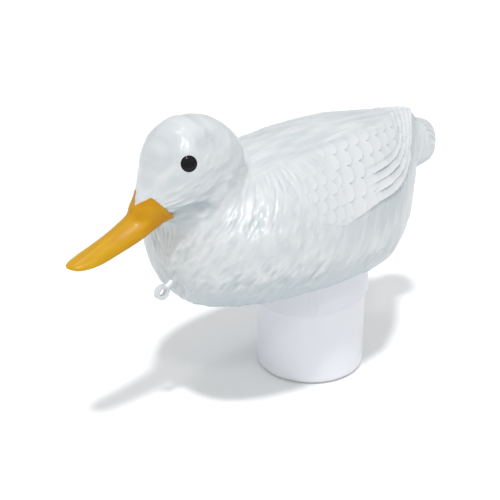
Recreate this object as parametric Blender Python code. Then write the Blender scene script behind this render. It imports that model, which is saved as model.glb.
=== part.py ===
"""Floating chlorine dispenser: a duck-shaped float over a push-fit tablet cup.

Units are metres, +Z up.  The origin is the centre of the cup's flat bottom.
The duck looks along -Y and its left side is +X.
"""
import math

import bmesh
import bpy
import numpy as np
from mathutils import Matrix, Vector
from mathutils.bvhtree import BVHTree

MM = 0.001
GAP = 0.3 * MM                      # clearance that touching pieces keep

# Tablet cup: its bore takes a 76 mm tablet
CUP_BORE_RADIUS = 43.5 * MM
CUP_RADIUS = 46.0 * MM
CUP_HEIGHT = 108.0 * MM
CUP_FLOOR = 3.0 * MM
CUP_EDGE_RADIUS = 7.0 * MM
DRAIN_HOLES = 6
DRAIN_HOLE_RADIUS = 3.0 * MM
DRAIN_CIRCLE = 26.0 * MM
CUP_LIP_CHAMFER = 0.6 * MM

# Friction ring and its groove round the top of the cup
RING_HEIGHT = 98.0 * MM
RING_RADIUS = CUP_RADIUS - 0.35 * MM
RING_SECTION = 0.6 * MM
GROOVE_RADIUS = CUP_RADIUS - 1.25 * MM
GROOVE_HALF_HEIGHT = 1.0 * MM

# Collar fixed in the belly recess; its lower edge is cut on a slant
COLLAR_BORE_RADIUS = CUP_RADIUS + 0.6 * MM
COLLAR_RADIUS = 48.0 * MM
COLLAR_EDGE_HEIGHT = 69.3 * MM      # of the lower edge, at the cup's axis
COLLAR_EDGE_SLOPE = 0.105           # rise of that edge towards the tail
COLLAR_TOP = 116.7 * MM
COLLAR_ROOF = 2.7 * MM
COLLAR_ROOF_HOLE = 13.0 * MM

# Flow windows through the collar and the cup, at the back
WINDOW_ANGLES = (66, 90, 114)
WINDOW_WIDTH = 11.0 * MM
WINDOW_LOW = 78.0 * MM
WINDOW_HIGH = 86.5 * MM

# Recess in the belly, gasket, screws and plug
WALL = 2.2 * MM
RECESS_RADIUS = COLLAR_RADIUS + GAP
RECESS_TOP = 118.3 * MM
GASKET_INNER = 28.0 * MM
SCREW_CIRCLE = 36.0 * MM
SCREW_SHANK = 1.7 * MM
SCREW_HEAD = 3.6 * MM
SCREW_HEAD_HEIGHT = 2.2 * MM
SCREW_LENGTH = 12.0 * MM
BOSS_RADIUS = 4.5 * MM
BOSS_HEIGHT = 11.0 * MM
PLUG_RADIUS = 5.0 * MM
PLUG_LENGTH = 5.0 * MM
PLUG_FLANGE = 7.5 * MM
PLUG_FLANGE_HEIGHT = 1.6 * MM

# Eyes, bill and tether eye
EYE_RADIUS = 6.0 * MM
EYE_PLACE = (0.0, -147.7 * MM, 227.5 * MM)
EYE_DOME = 2.1 * MM
EYE_BACK = 0.9 * MM                 # thickness of the eye behind its rim
EYE_STEM_RADIUS = 2.5 * MM
EYE_STEM_LENGTH = 5.0 * MM
BILL_GAPE = (0.0, -155.5 * MM, 184.0 * MM)   # low back corner of the bill
BILL_EDGE_SLOPE = 0.84              # how fast the bill's edge runs forward as it rises
BILL_NOTCH_HALF = 10.0 * MM         # feathered point that runs out along the culmen
BILL_NOTCH_DEPTH = 11.0 * MM
BILL_CUT_ENDS = (1.0 * MM, 90.0 * MM)          # along that edge, from the gape
TENON_RADIUS = 5.0 * MM
TENON_LENGTH = 7.0 * MM
TENON_IN_BILL = 8.0 * MM
TENON_CENTRE = (0.0, -166.0 * MM, 187.0 * MM)
TENON_BORE = 2.5 * MM               # vents the hollow inside the bill
BILL_BACK_WALL = 4.0 * MM
HEAD_FRONT_WALL = 5.0 * MM          # behind the bill's edge
TETHER_EYE = (0.0, -156.5 * MM, 116.2 * MM)
TETHER_EYE_RADIUS = 6.0 * MM
TETHER_HOLE_RADIUS = 3.2 * MM
TETHER_THICKNESS = 4.0 * MM
TETHER_STEM = 19.0 * MM
TETHER_STEM_RADIUS = 3.0 * MM

# Cross-sections of the duck, in millimetres:
# (place along Y, top, bottom, half width, height of the widest point)
BODY = (
    (-151.5, 140, 140, 0, 140), (-147.5, 162, 120, 27, 140), (-138, 180, 104, 48.5, 143),
    (-120, 195, 97, 63, 145), (-95, 206.5, 92, 73, 144), (-62, 215, 89.5, 78, 140),
    (-20, 219, 87.5, 79, 136), (20, 219.5, 87.5, 75, 136), (52, 216.5, 99, 59.5, 141),
    (78, 213, 119, 40.5, 151), (98, 210, 138, 24, 163), (109, 207, 149, 15, 172),
    (115, 203, 158, 9, 180), (118, 192, 172, 0, 181),
)
HEAD = (
    (-83, 207, 207, 0, 207), (-88, 229, 186, 19, 207), (-99, 243, 177, 29, 208),
    (-115, 251, 172, 32.5, 210), (-132, 253, 172, 33, 210), (-148, 248, 174, 31, 208),
    (-157, 238, 176, 25.5, 204), (-165, 219.5, 178, 17.5, 197), (-172, 203, 179, 13, 190),
    (-180, 193, 181, 8, 187), (-182, 188, 185, 0, 186),
)
TAIL = (
    (88, 196, 160, 0, 176), (94, 198, 155, 18, 170), (107, 198, 155, 22, 165),
    (118, 197, 161, 22.5, 164), (125, 195, 171, 20.5, 167), (131, 192.5, 179, 15.5, 174),
    (134.5, 190, 182, 9, 181), (136, 187, 184, 0, 185),
)
BILL = (
    (-148, 187, 187, 0, 187), (-152, 196.5, 179, 11, 187.5), (-165, 196.5, 174.5, 15.5, 184.5),
    (-180, 189, 168.5, 15, 177.5), (-200, 179.5, 162.5, 13, 169.5),
    (-220, 171.5, 158.7, 12.5, 163.7), (-232, 167, 158.8, 10, 162), (-239, 164.5, 161, 5, 162.5),
    (-241, 163.5, 162, 0, 162.7),
)
# The same along Z for the neck: (height, centre along Y, half width, half length)
NECK = ((118, -100, 28, 34), (150, -104, 36, 40), (175, -110, 37, 40), (198, -118, 34, 37),
        (215, -122, 28, 32))
# Roundness of the upper halves: 1 is an ellipse, below 1 boxier, above 1 more pointed
HEAD_UPPER = 0.88
BILL_UPPER = 1.45

VOXEL = 3.0 * MM
CAVITY_VOXEL = 5.0 * MM
BLEND_STEPS = 6
SHELL_TRIANGLES = 5200
CAVITY_TRIANGLES = 1500


def clear_scene():
    """Remove whatever the scene holds."""
    for obj in list(bpy.data.objects):
        bpy.data.objects.remove(obj, do_unlink=True)


def material(name, colour, roughness, metallic=0.0):
    """Principled material with one colour."""
    mat = bpy.data.materials.new(name)
    mat.use_nodes = True
    shader = mat.node_tree.nodes["Principled BSDF"]
    shader.inputs["Base Color"].default_value = (*colour, 1.0)
    shader.inputs["Roughness"].default_value = roughness
    shader.inputs["Metallic"].default_value = metallic
    mat.diffuse_color = (*colour, 1.0)
    return mat


def add(name, mesh, mat=None, smooth_angle=35):
    """Object in the scene from a mesh, shaded smooth up to an edge angle."""
    obj = bpy.data.objects.new(name, mesh)
    bpy.context.scene.collection.objects.link(obj)
    if mat:
        mesh.materials.clear()
        mesh.materials.append(mat)
    mesh.shade_smooth()
    mesh.set_sharp_from_angle(angle=math.radians(smooth_angle))
    return obj


def mesh_from(bm, name):
    """Mesh from a bmesh, with its faces turned outwards."""
    bmesh.ops.recalc_face_normals(bm, faces=bm.faces)
    mesh = bpy.data.meshes.new(name)
    bm.to_mesh(mesh)
    bm.free()
    return mesh


def baked(obj):
    """Replace an object's mesh by what its modifiers make of it."""
    bpy.context.view_layer.update()
    graph = bpy.context.evaluated_depsgraph_get()
    mesh = bpy.data.meshes.new_from_object(obj.evaluated_get(graph))
    obj.modifiers.clear()
    obj.data = mesh
    return obj


def boolean(obj, other, operation="DIFFERENCE"):
    """Apply one exact Boolean and remove the other object."""
    mod = obj.modifiers.new("cut", "BOOLEAN")
    mod.operation = operation
    mod.solver = "EXACT"
    mod.object = other
    baked(obj)
    bpy.data.objects.remove(other, do_unlink=True)
    return obj


def smooth_rows(rows, count):
    """Rows read from smooth curves through the given rows, closer together at both ends."""
    rows = np.array(rows, float)
    steps = np.linalg.norm(np.diff(rows, axis=0), axis=1)
    knots = np.concatenate([[0.0], np.cumsum(steps)]) / steps.sum()
    widths = np.diff(knots)[:, None]
    slopes = np.diff(rows, axis=0) / widths
    tangents = np.zeros_like(rows)
    tangents[0], tangents[-1] = slopes[0], slopes[-1]
    before, after = slopes[:-1], slopes[1:]
    same_way = before * after > 0
    total = np.where(same_way, before + after, 1.0)
    tangents[1:-1] = np.where(same_way, 2 * before * after / total, 0.0)
    out = []
    for step in range(count):
        t = 0.5 - 0.5 * math.cos(math.pi * step / (count - 1))
        i = min(int(np.searchsorted(knots, t, side="right")) - 1, len(slopes) - 1)
        u = (t - knots[i]) / widths[i, 0]
        value = (rows[i] * (2 * u**3 - 3 * u**2 + 1) + rows[i + 1] * (3 * u**2 - 2 * u**3)
                 + widths[i] * (tangents[i] * (u**3 - 2 * u**2 + u)
                                + tangents[i + 1] * (u**3 - u**2)))
        out.append(value)
    return out


def skin_rings(rings, name):
    """Closed mesh over a list of equal rings of points; the two ends are capped."""
    bm = bmesh.new()
    loops = [[bm.verts.new(point) for point in ring] for ring in rings]
    for low, high in zip(loops, loops[1:]):
        for i in range(len(low)):
            j = (i + 1) % len(low)
            bm.faces.new((low[i], low[j], high[j], high[i]))
    bm.faces.new(loops[0])
    bm.faces.new(loops[-1])
    return mesh_from(bm, name)


def signed_power(value, power):
    """A power that keeps its sign."""
    return math.copysign(abs(value) ** power, value)


def section_loft(rows, name, rings=40, sides=36, upper=1.0):
    """Loft along Y through rounded sections; upper shapes their upper halves."""
    points = []
    for y, top, bottom, half, middle in smooth_rows(rows, rings)[1:-1]:
        ring = []
        for side in range(sides):
            angle = 2 * math.pi * side / sides
            power = upper if side < sides / 2 else 1.0
            rise = signed_power(math.sin(angle), power)
            reach = (top - middle) if rise > 0 else (middle - bottom)
            ring.append((half * signed_power(math.cos(angle), power) * MM, y * MM,
                         (middle + reach * rise) * MM))
        points.append(ring)
    return skin_rings(points, name)


def neck_loft(rows, sides=32):
    """Loft of the neck, upwards through elliptic sections."""
    points = []
    for height, centre, half_x, half_y in rows:
        ring = []
        for side in range(sides):
            angle = 2 * math.pi * side / sides
            ring.append((half_x * math.cos(angle) * MM, (centre + half_y * math.sin(angle)) * MM,
                         height * MM))
        points.append(ring)
    return skin_rings(points, "neck")


def cylinder(name, radius, low, high, sides=32, place=(0, 0)):
    """Upright cylinder between two heights."""
    bm = bmesh.new()
    move = Matrix.Translation((place[0], place[1], (low + high) / 2))
    bmesh.ops.create_cone(bm, cap_ends=True, segments=sides, radius1=radius, radius2=radius,
                          depth=high - low, matrix=move)
    return add(name, mesh_from(bm, name))


def rod(name, radius, start, end, sides=20):
    """Cylinder between two points in any direction."""
    start, end = Vector(start), Vector(end)
    bm = bmesh.new()
    turn = (end - start).to_track_quat("Z", "Y").to_matrix().to_4x4()
    move = Matrix.Translation((start + end) / 2) @ turn
    bmesh.ops.create_cone(bm, cap_ends=True, segments=sides, radius1=radius, radius2=radius,
                          depth=(end - start).length, matrix=move)
    return add(name, mesh_from(bm, name))


def turned(name, profile, sides=48):
    """Solid of revolution about Z from a closed outline of (radius, height) points."""
    bm = bmesh.new()
    rings = []
    for radius, height in profile:
        if radius < 1e-9:
            rings.append([bm.verts.new((0, 0, height))])
            continue
        angles = (2 * math.pi * (side + 0.5) / sides for side in range(sides))
        rings.append([bm.verts.new((radius * math.cos(a), radius * math.sin(a), height))
                      for a in angles])
    for low, high in zip(rings, rings[1:] + rings[:1]):
        if len(low) == 1 and len(high) == 1:
            continue
        for i in range(sides):
            j = (i + 1) % sides
            corners = []
            for vert in (low[i % len(low)], low[j % len(low)],
                         high[j % len(high)], high[i % len(high)]):
                if vert not in corners:
                    corners.append(vert)
            bm.faces.new(corners)
    return add(name, mesh_from(bm, name))


def duck_form(voxel, blend_steps):
    """Body, neck, head, tail and bill flowing into one closed surface."""
    meshes = [section_loft(BODY, "body", 48, 48), neck_loft(NECK),
              section_loft(HEAD, "head", upper=HEAD_UPPER), section_loft(TAIL, "tail", 24, 28),
              section_loft(BILL, "bill_form", 30, 24, BILL_UPPER)]
    bm = bmesh.new()
    for mesh in meshes:
        bm.from_mesh(mesh)
        bpy.data.meshes.remove(mesh)
    form = add("form", mesh_from(bm, "form"))
    remesh = form.modifiers.new("one_skin", "REMESH")
    remesh.mode = "VOXEL"
    remesh.voxel_size = voxel
    soften = form.modifiers.new("soften", "SMOOTH")
    soften.factor = 0.5
    soften.iterations = blend_steps
    return baked(form)


def reduced(obj, triangles):
    """Fewer triangles, to about the number asked for."""
    triangulate = obj.modifiers.new("triangles", "TRIANGULATE")
    triangulate.quad_method = "BEAUTY"
    baked(obj)
    decimate = obj.modifiers.new("fewer", "DECIMATE")
    decimate.ratio = min(1.0, triangles / len(obj.data.polygons))
    return baked(obj)


def bill_cutter(shift=0.0):
    """Prism in front of the bill's back edge, notched where feathers run along the culmen.

    It slopes with that edge; shift moves it along Y.
    """
    gape = Vector(BILL_GAPE)
    rise = Vector((0, -BILL_EDGE_SLOPE, 1)).normalized()
    ahead = Vector((0, -1, -BILL_EDGE_SLOPE)).normalized()
    half_width, reach = 60 * MM, 120 * MM
    outline = [(-half_width, 0), (-BILL_NOTCH_HALF, 0), (0, BILL_NOTCH_DEPTH),
               (BILL_NOTCH_HALF, 0), (half_width, 0), (half_width, reach), (-half_width, reach)]
    rings = []
    for end in BILL_CUT_ENDS:
        base = gape + rise * end + Vector((0, shift, 0))
        rings.append([base + Vector((x, 0, 0)) + ahead * depth for x, depth in outline])
    return add("bill_cutter", skin_rings(rings, "bill_cutter"))


def surface_point(obj, start, direction):
    """Where a line first meets an object, and the outward normal there."""
    graph = bpy.context.evaluated_depsgraph_get()
    tree = BVHTree.FromObject(obj, graph)
    place, normal, _, _ = tree.ray_cast(Vector(start), Vector(direction))
    return place, normal


def screw_places():
    """Centres of the four screws on their circle."""
    angles = [math.radians(45 + 90 * i) for i in range(4)]
    return [(SCREW_CIRCLE * math.cos(a), SCREW_CIRCLE * math.sin(a)) for a in angles]


def tenon_ends():
    """Ends of the bill's tenon: inside the bill, and inside the head."""
    centre = Vector(TENON_CENTRE)
    back = Vector((0, 1, BILL_EDGE_SLOPE)).normalized()
    return centre - back * TENON_IN_BILL, centre + back * TENON_LENGTH


def inner_form():
    """The whole duck form drawn in by the wall thickness."""
    inner = duck_form(CAVITY_VOXEL, BLEND_STEPS)
    shrink = inner.modifiers.new("wall", "DISPLACE")
    shrink.strength = -WALL
    shrink.mid_level = 0.0
    baked(inner)
    return reduced(inner, CAVITY_TRIANGLES)


def make_cavity(inner, eyes):
    """Air space inside the float, clear of the recess, bosses, eyes and bill root."""
    cavity = add("cavity", inner.data.copy())
    boolean(cavity, cylinder("recess_wall", RECESS_RADIUS + WALL, 0, RECESS_TOP + WALL, 40))
    boolean(cavity, bill_cutter(shift=HEAD_FRONT_WALL))
    root, tip = tenon_ends()
    boolean(cavity, rod("tenon_boss", TENON_RADIUS + WALL, root,
                        tip + (tip - root).normalized() * WALL, 12))
    for x, y in screw_places():
        boolean(cavity, cylinder("boss", BOSS_RADIUS, RECESS_TOP, RECESS_TOP + BOSS_HEIGHT, 12,
                                 (x, y)))
    for place, normal in eyes:
        boolean(cavity, rod("eye_boss", EYE_STEM_RADIUS + 2 * MM, place + normal * 5 * MM,
                            place - normal * (EYE_STEM_LENGTH + WALL), 12))
    start, end = tether_stem_ends()
    boolean(cavity, rod("tether_boss", 2 * TETHER_STEM_RADIUS, start,
                        end + (end - start).normalized() * WALL, 12))
    return cavity


def tether_stem_ends():
    """Ends of the tether eye's stem: at the eye, and inside the chest."""
    eye = Vector(TETHER_EYE)
    inwards = Vector((0, 0.86, 0.51)).normalized()
    return eye + inwards * (TETHER_EYE_RADIUS - 1.5 * MM), eye + inwards * TETHER_STEM


def make_duck_shell(form, inner, eyes, mat):
    """Hollow float with its belly recess and the pockets for the pieces fixed to it."""
    shell = add("duck_shell", form.data.copy())
    boolean(shell, bill_cutter())
    boolean(shell, make_cavity(inner, eyes))
    boolean(shell, cylinder("recess", RECESS_RADIUS, 0, RECESS_TOP, 48))
    boolean(shell, cylinder("plug_hole", PLUG_RADIUS + GAP, RECESS_TOP - MM,
                            RECESS_TOP + PLUG_LENGTH, 24))
    for x, y in screw_places():
        boolean(shell, cylinder("screw_hole", SCREW_SHANK + GAP, RECESS_TOP - MM,
                                RECESS_TOP + SCREW_LENGTH - 3 * MM, 12, (x, y)))
    for place, normal in eyes:
        boolean(shell, rod("eye_seat", EYE_RADIUS + GAP, place + normal * 6 * MM,
                           place - normal * (EYE_BACK + GAP), 24))
        boolean(shell, rod("eye_pocket", EYE_STEM_RADIUS + GAP, place + normal * 6 * MM,
                           place - normal * (EYE_STEM_LENGTH + GAP), 16))
    root, tip = tenon_ends()
    back = (tip - root).normalized()
    boolean(shell, rod("tenon_pocket", TENON_RADIUS + GAP, root, tip + back * GAP))
    start, end = tether_stem_ends()
    inwards = (end - start).normalized()
    boolean(shell, rod("tether_pocket", TETHER_STEM_RADIUS + GAP, start, end + inwards * GAP,
                       16))
    return finished(shell, "duck_shell", mat)


def finished(obj, name, mat, smooth_angle=35):
    """Give a piece its name, material and smooth shading."""
    obj.name = name
    obj.data.name = name
    obj.data.materials.clear()
    obj.data.materials.append(mat)
    obj.data.shade_smooth()
    obj.data.set_sharp_from_angle(angle=math.radians(smooth_angle))
    return obj


def make_bill(form, inner, mat):
    """Yellow hollow bill: the front of the form, with a bored tenon that plugs into the head."""
    bill = add("bill", form.data.copy())
    boolean(bill, bill_cutter(shift=-GAP), "INTERSECT")
    root, tip = tenon_ends()
    along = (tip - root).normalized()
    boolean(bill, rod("tenon", TENON_RADIUS, root, tip), "UNION")
    hollow = add("hollow", inner.data.copy())
    boolean(hollow, bill_cutter(shift=-GAP - BILL_BACK_WALL), "INTERSECT")
    boolean(hollow, rod("vent", TENON_BORE, root - along * TENON_IN_BILL, tip + along * MM, 16),
            "UNION")
    boolean(bill, hollow)
    return finished(bill, "bill", mat)


def make_eye(name, place, normal, mat):
    """Domed eye on a stem, facing along the normal."""
    steps = 6
    profile = [(0, EYE_DOME)]
    for step in range(1, steps + 1):
        angle = math.pi / 2 * step / steps
        profile.append((EYE_RADIUS * math.sin(angle), EYE_DOME * math.cos(angle)))
    profile += [(EYE_RADIUS, -EYE_BACK), (EYE_STEM_RADIUS, -EYE_BACK),
                (EYE_STEM_RADIUS, -EYE_STEM_LENGTH), (0, -EYE_STEM_LENGTH)]
    eye = turned(name, profile, 32)
    eye.rotation_mode = "QUATERNION"
    eye.rotation_quaternion = normal.to_track_quat("Z", "Y")
    eye.location = place
    return finished(eye, name, mat)


def make_tether_eye(mat):
    """Flat eyelet in the duck's middle plane, with a stem that plugs into the chest."""
    centre = Vector(TETHER_EYE)
    half = Vector((TETHER_THICKNESS / 2, 0, 0))
    eyelet = rod("tether_eye", TETHER_EYE_RADIUS, centre - half, centre + half, 28)
    start, end = tether_stem_ends()
    boolean(eyelet, rod("stem", TETHER_STEM_RADIUS, start, end, 16), "UNION")
    boolean(eyelet, rod("hole", TETHER_HOLE_RADIUS, centre - 2 * half, centre + 2 * half, 24))
    return finished(eyelet, "tether_eye", mat)


def make_hull_plug(mat):
    """Push-in plug that closes the float's blow hole, below the recess ceiling."""
    top = RECESS_TOP - GAP
    plug = turned("hull_plug", [
        (0, top - PLUG_FLANGE_HEIGHT), (PLUG_FLANGE, top - PLUG_FLANGE_HEIGHT),
        (PLUG_FLANGE, top), (PLUG_RADIUS, top), (PLUG_RADIUS, top + PLUG_LENGTH - MM),
        (PLUG_RADIUS - MM, top + PLUG_LENGTH), (0, top + PLUG_LENGTH)], 24)
    return finished(plug, "hull_plug", mat)


def window_cutters(inner, outer):
    """Radial blocks that cut the flow windows through a wall between two radii."""
    cutters = []
    for number, degrees in enumerate(WINDOW_ANGLES):
        bm = bmesh.new()
        size = Matrix.Diagonal((outer - inner, WINDOW_WIDTH, WINDOW_HIGH - WINDOW_LOW, 1))
        place = Matrix.Translation(((outer + inner) / 2, 0, (WINDOW_HIGH + WINDOW_LOW) / 2))
        turn = Matrix.Rotation(math.radians(degrees), 4, "Z")
        bmesh.ops.create_cube(bm, size=1.0, matrix=turn @ place @ size)
        cutters.append(add(f"window_{number}", mesh_from(bm, "window")))
    return cutters


def make_collar(mat):
    """Fixed tube in the belly recess, with a screwed roof and a slanted lower edge."""
    low, far = COLLAR_EDGE_HEIGHT - 20 * MM, 80 * MM
    collar = turned("collar", [
        (COLLAR_RADIUS, COLLAR_TOP), (COLLAR_RADIUS, low), (COLLAR_BORE_RADIUS, low),
        (COLLAR_BORE_RADIUS, COLLAR_TOP - COLLAR_ROOF),
        (COLLAR_ROOF_HOLE, COLLAR_TOP - COLLAR_ROOF), (COLLAR_ROOF_HOLE, COLLAR_TOP)], 64)
    rings = []
    for x in (-far, far):
        edge = [(x, y, COLLAR_EDGE_HEIGHT + COLLAR_EDGE_SLOPE * y) for y in (-far, far)]
        rings.append(edge + [(x, far, low - far), (x, -far, low - far)])
    boolean(collar, add("slant", skin_rings(rings, "slant")))
    for cutter in window_cutters(COLLAR_BORE_RADIUS - 3 * MM, COLLAR_RADIUS + 3 * MM):
        boolean(collar, cutter)
    for x, y in screw_places():
        boolean(collar, cylinder("screw_hole", SCREW_SHANK + GAP, COLLAR_TOP - 6 * MM,
                                 COLLAR_TOP + 2 * MM, 12, (x, y)))
    return finished(collar, "collar", mat)


def make_gasket(mat):
    """Flat rubber ring between the collar's roof and the recess ceiling."""
    low, high = COLLAR_TOP + GAP, RECESS_TOP - GAP
    outer = COLLAR_RADIUS - MM
    gasket = turned("collar_gasket", [(outer, high), (outer, low), (GASKET_INNER, low),
                                      (GASKET_INNER, high)], 48)
    for x, y in screw_places():
        boolean(gasket, cylinder("screw_hole", SCREW_SHANK + GAP, low - MM, high + MM, 12,
                                 (x, y)))
    return finished(gasket, "collar_gasket", mat)


def make_screws(mat):
    """Pan-head screws up through the collar's roof into the float's bosses."""
    seat = COLLAR_TOP - COLLAR_ROOF - GAP
    tip = RECESS_TOP + SCREW_LENGTH - 4 * MM
    profile = [(0, seat - SCREW_HEAD_HEIGHT), (SCREW_HEAD * 0.7, seat - SCREW_HEAD_HEIGHT),
               (SCREW_HEAD, seat - SCREW_HEAD_HEIGHT * 0.6), (SCREW_HEAD, seat),
               (SCREW_SHANK, seat), (SCREW_SHANK, tip - MM), (0, tip)]
    for number, (x, y) in enumerate(screw_places(), start=1):
        screw = turned(f"collar_screw_{number}", profile, 12)
        screw.location = (x, y, 0)
        finished(screw, f"collar_screw_{number}", mat)


def make_cup(mat):
    """Tablet cup: rounded bottom edge, ring groove near the top, drain holes and windows."""
    edge = CUP_EDGE_RADIUS
    steps = 6
    profile = [(0, 0)]
    for step in range(steps + 1):
        angle = math.pi / 2 * step / steps
        profile.append((CUP_RADIUS - edge + edge * math.sin(angle), edge - edge * math.cos(angle)))
    low, high = RING_HEIGHT - GROOVE_HALF_HEIGHT, RING_HEIGHT + GROOVE_HALF_HEIGHT
    profile += [(CUP_RADIUS, low), (GROOVE_RADIUS, low), (GROOVE_RADIUS, high),
                (CUP_RADIUS, high), (CUP_RADIUS, CUP_HEIGHT - CUP_LIP_CHAMFER),
                (CUP_RADIUS - CUP_LIP_CHAMFER, CUP_HEIGHT), (CUP_BORE_RADIUS, CUP_HEIGHT)]
    inner_edge = edge - (CUP_RADIUS - CUP_BORE_RADIUS)
    for step in range(4):
        angle = math.pi / 2 * step / 3
        profile.append((CUP_BORE_RADIUS - inner_edge + inner_edge * math.cos(angle),
                        CUP_FLOOR + inner_edge - inner_edge * math.sin(angle)))
    profile.append((0, CUP_FLOOR))
    cup = turned("tablet_cup", profile, 64)
    for cutter in window_cutters(CUP_BORE_RADIUS - 3 * MM, CUP_RADIUS + 3 * MM):
        boolean(cup, cutter)
    for hole in range(DRAIN_HOLES):
        angle = 2 * math.pi * (hole + 0.5) / DRAIN_HOLES
        place = (DRAIN_CIRCLE * math.cos(angle), DRAIN_CIRCLE * math.sin(angle))
        boolean(cup, cylinder("drain", DRAIN_HOLE_RADIUS, -MM, CUP_FLOOR + MM, 12, place))
    return finished(cup, "tablet_cup", mat)


def make_friction_ring(mat):
    """Round rubber ring in the cup's groove."""
    sides = 8
    profile = []
    for side in range(sides):
        angle = -2 * math.pi * side / sides
        profile.append((RING_RADIUS + RING_SECTION * math.cos(angle),
                        RING_HEIGHT + RING_SECTION * math.sin(angle)))
    return finished(turned("friction_ring", profile, 64), "friction_ring", mat)


def main():
    """Build every piece in its place."""
    clear_scene()
    white = material("white_gloss", (0.86, 0.88, 0.88), 0.22)
    satin = material("white_satin", (0.84, 0.85, 0.89), 0.38)
    yellow = material("bill_yellow", (0.83, 0.47, 0.03), 0.35)
    black = material("eye_black", (0.01, 0.01, 0.01), 0.08)
    rubber = material("ring_rubber", (0.05, 0.05, 0.05), 0.7)
    steel = material("screw_steel", (0.6, 0.6, 0.6), 0.3, 1.0)

    form = duck_form(VOXEL, BLEND_STEPS)
    reduced(form, SHELL_TRIANGLES)
    _, eye_y, eye_z = EYE_PLACE
    eyes = [surface_point(form, (side * 90 * MM, eye_y, eye_z), (-side, 0, 0))
            for side in (1, -1)]
    inner = inner_form()
    make_duck_shell(form, inner, eyes, white)
    make_bill(form, inner, yellow)
    for guide in (form, inner):
        bpy.data.objects.remove(guide, do_unlink=True)
    for name, (place, normal) in zip(("left_eye", "right_eye"), eyes):
        make_eye(name, place, normal, black)
    make_tether_eye(white)
    make_hull_plug(rubber)
    make_collar(satin)
    make_gasket(rubber)
    make_screws(steel)
    make_cup(satin)
    make_friction_ring(rubber)


main()
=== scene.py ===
"""Looks of the duck-shaped floating chlorine dispenser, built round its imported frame.

Metres, +Z up; the duck looks along -Y and its left side is +X.
"""
import math

import bmesh
import bpy
import numpy as np
from mathutils import Matrix, Vector
from mathutils.bvhtree import BVHTree


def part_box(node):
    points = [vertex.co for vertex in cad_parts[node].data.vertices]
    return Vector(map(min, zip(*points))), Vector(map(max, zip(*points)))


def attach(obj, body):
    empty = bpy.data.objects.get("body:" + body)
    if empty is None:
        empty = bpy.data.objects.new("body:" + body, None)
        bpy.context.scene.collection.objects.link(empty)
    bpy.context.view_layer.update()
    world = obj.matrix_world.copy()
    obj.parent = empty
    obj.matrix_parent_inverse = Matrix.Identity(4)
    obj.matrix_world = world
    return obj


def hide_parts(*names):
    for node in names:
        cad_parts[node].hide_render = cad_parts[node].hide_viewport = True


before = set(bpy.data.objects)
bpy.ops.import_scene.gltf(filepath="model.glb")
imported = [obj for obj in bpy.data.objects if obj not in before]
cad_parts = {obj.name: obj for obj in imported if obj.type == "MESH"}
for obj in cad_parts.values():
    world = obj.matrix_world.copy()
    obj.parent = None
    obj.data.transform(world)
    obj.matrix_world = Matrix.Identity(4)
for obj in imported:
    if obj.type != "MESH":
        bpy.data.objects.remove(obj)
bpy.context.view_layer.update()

MM = 0.001

# Camera and stage
CAMERA_AZIMUTH = 50.0
CAMERA_PITCH = 25.0
CAMERA_PLACE = (0.727, -0.678, 0.568)
CAMERA_LENS, CAMERA_SENSOR, CAMERA_CLIP = 93.6, 36.0, 0.05
# Suns: (direction from the duck, strength, angle across in degrees, colour)
SUNS = {"key": ((124, -73, 163), 0.30, 7.0, (1.0, 0.985, 0.96)),
        "top": ((38, -32, 118), 1.52, 5.0, (1.0, 1.0, 1.0))}
OVERHEAD_PLACE, OVERHEAD_SIZE, OVERHEAD_POWER = (-0.25, -0.25, 1.2), 0.2, 1.0
OVERHEAD_TARGET = (0, -0.05, 0.18)
SURROUND_STRENGTH = 0.84
SURROUND_HEIGHTS = (-0.2, 1.0)
SURROUND_COLOURS = [(0.0, (0.56, 0.56, 0.565)), (0.35, (0.655, 0.66, 0.67)),
                    (1.0, (0.80, 0.81, 0.82))]
FLOOR_RADIUS, FLOOR_SIDES = 6.0, 64
FLOOR_COLOUR, FLOOR_ROUGHNESS, FLOOR_SPECULAR = (0.97, 0.97, 0.97, 1), 0.9, 0.1

# Cross-sections of the duck in millimetres, as in the CAD:
# (place along Y, top, bottom, half width, height of the widest point)
BODY = (
    (-151.5, 140, 140, 0, 140), (-147.5, 162, 120, 27, 140), (-138, 180, 104, 48.5, 143),
    (-120, 195, 97, 63, 145), (-95, 206.5, 92, 73, 144), (-62, 215, 89.5, 78, 140),
    (-20, 219, 87.5, 79, 136), (20, 219.5, 87.5, 75, 136), (52, 216.5, 99, 59.5, 141),
    (78, 213, 119, 40.5, 151), (98, 210, 138, 24, 163), (109, 207, 149, 15, 172),
    (115, 203, 158, 9, 180), (118, 192, 172, 0, 181),
)
HEAD = (
    (-83, 207, 207, 0, 207), (-88, 229, 186, 19, 207), (-99, 243, 177, 29, 208),
    (-115, 251, 172, 32.5, 210), (-132, 253, 172, 33, 210), (-148, 248, 174, 31, 208),
    (-157, 238, 176, 25.5, 204), (-165, 219.5, 178, 17.5, 197), (-172, 203, 179, 13, 190),
    (-180, 193, 181, 8, 187), (-182, 188, 185, 0, 186),
)
TAIL = (
    (88, 196, 160, 0, 176), (94, 198, 155, 18, 170), (107, 198, 155, 22, 165),
    (118, 197, 161, 22.5, 164), (125, 195, 171, 20.5, 167), (131, 192.5, 179, 15.5, 174),
    (134.5, 190, 182, 9, 181), (136, 187, 184, 0, 185),
)
BILL = (
    (-148, 187, 187, 0, 187), (-152, 196.5, 179, 11, 187.5), (-165, 196.5, 174.5, 15.5, 184.5),
    (-180, 189, 168.5, 15, 177.5), (-200, 179.5, 162.5, 13, 169.5),
    (-220, 171.5, 158.7, 12.5, 163.7), (-232, 167, 158.8, 10, 162), (-239, 164.5, 161, 5, 162.5),
    (-241, 163.5, 162, 0, 162.7),
)
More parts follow.
